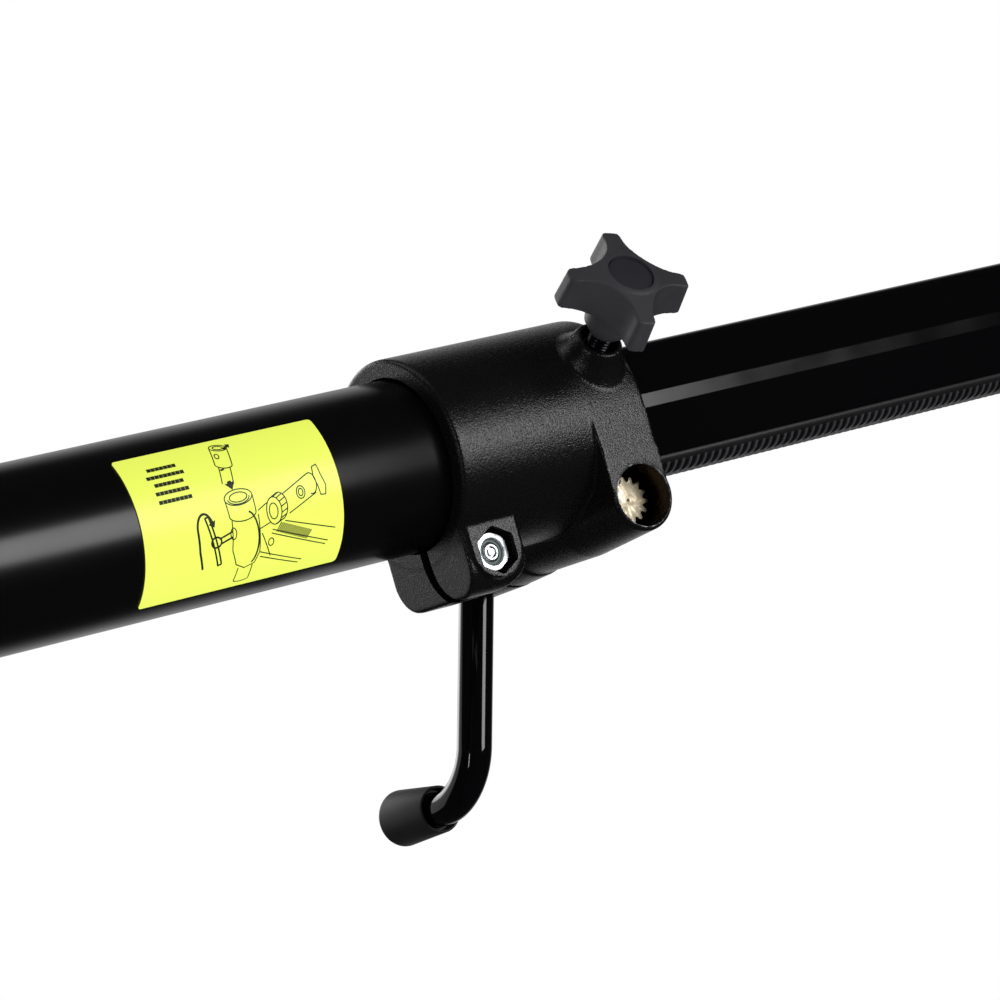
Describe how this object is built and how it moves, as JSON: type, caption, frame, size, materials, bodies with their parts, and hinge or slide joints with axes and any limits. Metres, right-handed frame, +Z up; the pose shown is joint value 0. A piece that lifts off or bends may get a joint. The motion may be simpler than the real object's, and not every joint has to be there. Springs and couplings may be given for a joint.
{
  "type": "crank lighting stand",
  "caption": "Boom stand for a light: a cranked rack-and-pinion telescoping boom with a tilting spigot socket, counterweight, fulcrum yoke, telescoping column and folding tripod legs.",
  "frame": {"origin": "on the floor, at the centre of the column's foot", "axes": "+Z up along the column, +X along the boom towards its head, +Y towards the crank's side"},
  "size_m": [1.623, 0.882, 1.419],
  "materials": {
    "tube": "satin black",
    "alu_tube": "satin black anodised",
    "gloss_tube": "gloss black",
    "casting": "black powder coat, fine orange peel",
    "gloss_rod": "gloss black",
    "knob_plastic": "matte dark grey",
    "grip_plastic": "matte dark grey",
    "zinc": "bright zinc",
    "steel": "turned steel",
    "brass": "pale brass",
    "bush_plastic": "plain",
    "rubber": "matte",
    "label": "printed yellow-green film",
    "iron": "black paint"
  },
  "bodies": {
    "base": {"column_tube": "tube", "column_foot": "rubber", "column_collar": "casting", "leg_stop_ring": "casting", "leg_a": "tube", "foot_a": "rubber"},
    "leg_b": {"leg_b": "tube", "foot_b": "rubber"},
    "leg_c": {"leg_c": "tube", "foot_c": "rubber"},
    "riser": {"riser_tube": "tube", "riser_guide": "bush_plastic", "top_socket": "casting"},
    "riser_lock_pad": {"riser_lock_pad": "brass"},
    "riser_lock_knob": {"riser_lock_knob": "knob_plastic"},
    "pan_lock_pad": {"pan_lock_pad": "brass"},
    "pan_lock_knob": {"pan_lock_knob": "knob_plastic"},
    "yoke": {"yoke": "casting", "tilt_bolt": "zinc"},
    "tilt_lever": {"tilt_lever": "knob_plastic"},
    "outer_boom": {"outer_tube": "alu_tube", "rear_end_cap": "rubber", "inner_guide_bush": "bush_plastic", "info_label": "label", "crank_collar": "casting", "nose_guide_bush": "bush_plastic", "pinion_bush": "brass", "clamp_nut": "zinc", "clamp_bolt": "zinc", "saddle_lower": "casting", "saddle_cap": "casting", "saddle_bolt_1": "zinc", "saddle_bolt_2": "zinc", "saddle_bolt_3": "zinc", "saddle_bolt_4": "zinc"},
    "counterweight": {"counterweight": "iron"},
    "counterweight_lock_pad": {"counterweight_lock_pad": "brass"},
    "counterweight_lock_knob": {"counterweight_lock_knob": "knob_plastic"},
    "crank": {"pinion_gear": "brass", "pinion_shaft": "steel", "crank_hub": "casting", "hub_set_screw": "steel", "crank_arm": "gloss_rod"},
    "crank_grip": {"crank_grip": "grip_plastic"},
    "inner_boom": {"inner_tube": "gloss_tube", "gear_rack": "gloss_tube", "tail_guide": "bush_plastic", "head_bracket": "casting", "bracket_screw": "zinc", "toothed_wheel": "casting", "head_tilt_bolt": "zinc"},
    "head_tilt_knob": {"head_tilt_knob": "knob_plastic"},
    "brake_shoe": {"brake_shoe": "brass"},
    "star_knob": {"star_knob": "knob_plastic", "knob_cap": "knob_plastic", "lock_stud": "steel"},
    "head": {"head_socket": "casting"},
    "head_screw_pad": {"head_screw_pad": "brass"},
    "head_screw": {"head_screw": "zinc", "head_screw_bar": "zinc"}
  },
  "joints": [
    {"name": "leg_b_fold", "type": "hinge", "parent": "base", "child": "leg_b", "pos_m": [0, 0, 0.2], "axis": [0, 0, 1], "range_deg": [-108, 0]},
    {"name": "leg_c_fold", "type": "hinge", "parent": "base", "child": "leg_c", "pos_m": [0, 0, 0.23], "axis": [0, 0, 1], "range_deg": [0, 108]},
    {"name": "riser_slide", "type": "slide", "parent": "base", "child": "riser", "axis": [0, 0, 1], "range_m": [-0.27, 0.28]},
    {"name": "riser_lock_travel", "type": "slide", "parent": "base", "child": "riser_lock_pad", "axis": [0, -1, 0], "range_m": [0, 0.005]},
    {"name": "riser_lock_turn", "type": "hinge", "parent": "riser_lock_pad", "child": "riser_lock_knob", "pos_m": [0, -0.04, 0.75], "axis": [0, -1, 0], "range_deg": [0, 1440]},
    {"name": "boom_pan", "type": "hinge", "parent": "riser", "child": "yoke", "pos_m": [0, 0, 1.16], "axis": [0, 0, 1], "continuous": true},
    {"name": "pan_lock_travel", "type": "slide", "parent": "riser", "child": "pan_lock_pad", "axis": [0, -1, 0], "range_m": [0, 0.005]},
    {"name": "pan_lock_turn", "type": "hinge", "parent": "pan_lock_pad", "child": "pan_lock_knob", "pos_m": [0, -0.04, 1.142], "axis": [0, -1, 0], "range_deg": [0, 1440]},
    {"name": "boom_tilt", "type": "hinge", "parent": "yoke", "child": "outer_boom", "pos_m": [0, 0, 1.24], "axis": [0, -1, 0], "range_deg": [-30, 55]},
    {"name": "tilt_lever_turn", "type": "hinge", "parent": "yoke", "child": "tilt_lever", "pos_m": [0, -0.045, 1.24], "axis": [0, -1, 0], "range_deg": [-60, 60]},
    {"name": "counterweight_slide", "type": "slide", "parent": "outer_boom", "child": "counterweight", "axis": [1, 0, 0], "range_m": [-0.025, 0.2]},
    {"name": "counterweight_lock_travel", "type": "slide", "parent": "counterweight", "child": "counterweight_lock_pad", "axis": [0, 0, 1], "range_m": [0, 0.005]},
    {"name": "counterweight_lock_turn", "type": "hinge", "parent": "counterweight_lock_pad", "child": "counterweight_lock_knob", "pos_m": [-0.48, 0, 1.4], "axis": [0, 0, 1], "range_deg": [0, 1440]},
    {"name": "crank_turn", "type": "hinge", "parent": "outer_boom", "child": "crank", "pos_m": [0.5306, 0.078, 1.28329], "axis": [0, 1, 0], "range_deg": [-1795, 3205]},
    {"name": "grip_spin", "type": "hinge", "parent": "crank", "child": "crank_grip", "pos_m": [0.49448, 0.118, 1.18268], "axis": [0, 1, 0], "continuous": true},
    {"name": "boom_extend", "type": "slide", "parent": "outer_boom", "child": "inner_boom", "axis": [1, 0, 0], "range_m": [-0.28, 0.5]},
    {"name": "lock_knob_travel", "type": "slide", "parent": "outer_boom", "child": "brake_shoe", "axis": [0, -0.8434, 0.5373], "range_m": [0, 0.0075]},
    {"name": "lock_knob_turn", "type": "hinge", "parent": "brake_shoe", "child": "star_knob", "pos_m": [0.5306, -0.0641, 1.36084], "axis": [0, -0.8434, 0.5373], "range_deg": [0, 1800]},
    {"name": "head_tilt_knob_turn", "type": "hinge", "parent": "inner_boom", "child": "head_tilt_knob", "pos_m": [0.955, -0.04, 1.32], "axis": [0, -1, 0], "range_deg": [0, 720]},
    {"name": "head_tilt", "type": "hinge", "parent": "inner_boom", "child": "head", "pos_m": [0.955, 0, 1.32], "axis": [0, -1, 0], "range_deg": [-60, 60]},
    {"name": "head_screw_travel", "type": "slide", "parent": "head", "child": "head_screw_pad", "axis": [1, 0, 0], "range_m": [0, 0.0045]},
    {"name": "head_screw_turn", "type": "hinge", "parent": "head_screw_pad", "child": "head_screw", "pos_m": [1.04, 0, 1.34], "axis": [1, 0, 0], "range_deg": [0, 1080]}
  ],
  "couplings": [
    {"joint": "riser_lock_travel", "follows": "riser_lock_turn", "m_per_rad": 0.00019894},
    {"joint": "pan_lock_travel", "follows": "pan_lock_turn", "m_per_rad": 0.00019894},
    {"joint": "counterweight_lock_travel", "follows": "counterweight_lock_turn", "m_per_rad": 0.00019894},
    {"joint": "boom_extend", "follows": "crank_turn", "m_per_rad": 0.0089127},
    {"joint": "lock_knob_travel", "follows": "lock_knob_turn", "m_per_rad": 0.00023873},
    {"joint": "head_screw_travel", "follows": "head_screw_turn", "m_per_rad": 0.00023873}
  ]
}
